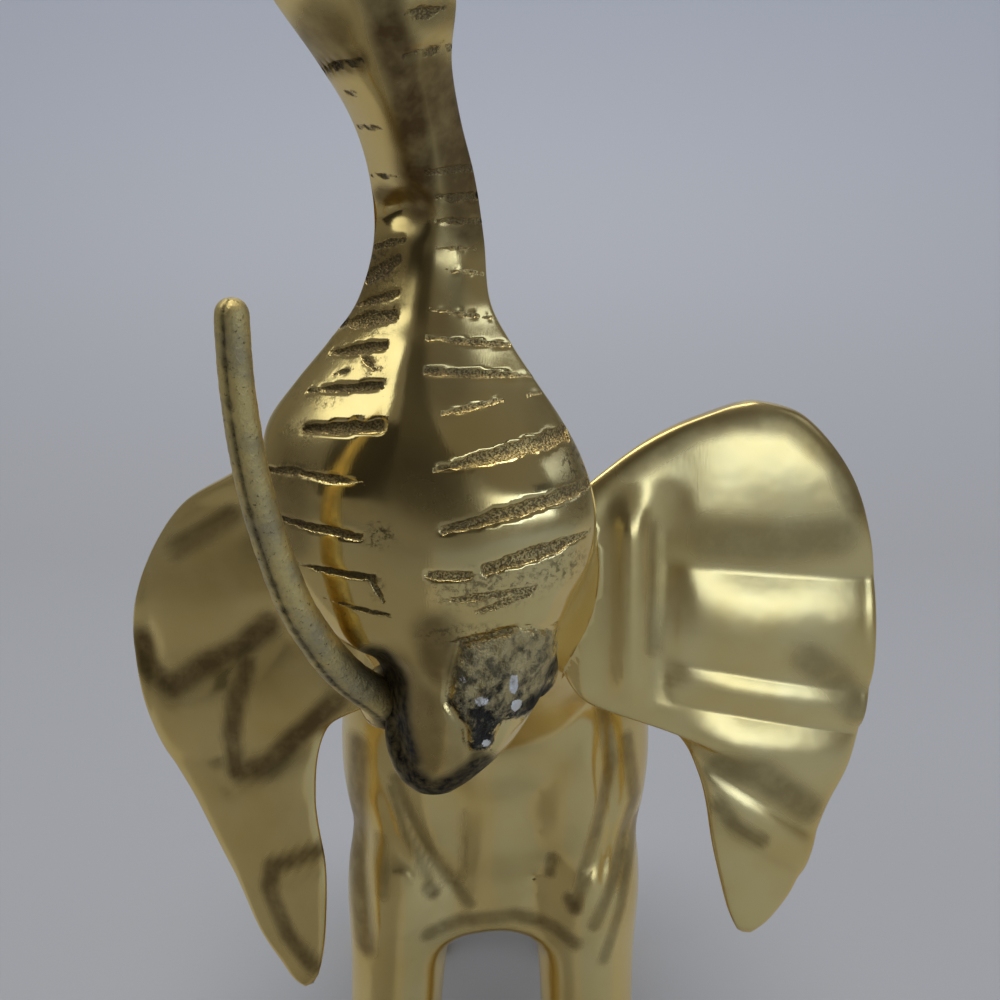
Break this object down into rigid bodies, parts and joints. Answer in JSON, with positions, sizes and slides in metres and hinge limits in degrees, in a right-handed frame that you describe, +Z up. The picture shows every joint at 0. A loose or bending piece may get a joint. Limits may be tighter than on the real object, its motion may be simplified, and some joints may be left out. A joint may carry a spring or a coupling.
{
  "type": "elephant figurine",
  "caption": "Standing elephant figurine in cast brass, trunk raised, with rippled ears and a single soldered tusk.",
  "frame": {"origin": "middle of the underside of the box around the figurine, on the surface it stands on", "axes": "+Z up, the elephant faces -Y, its right side (the side with the tusk) is -X"},
  "size_m": [0.1048, 0.1822, 0.1881],
  "materials": {
    "polished_brass": "polished by hand, with rough dark sand-cast grooves and tarnished solder",
    "unpolished_brass": "dull greyish-brown cast rod with a seam"
  },
  "bodies": {
    "root": {"elephant_casting": "polished_brass", "right_tusk": "unpolished_brass"}
  },
  "joints": []
}
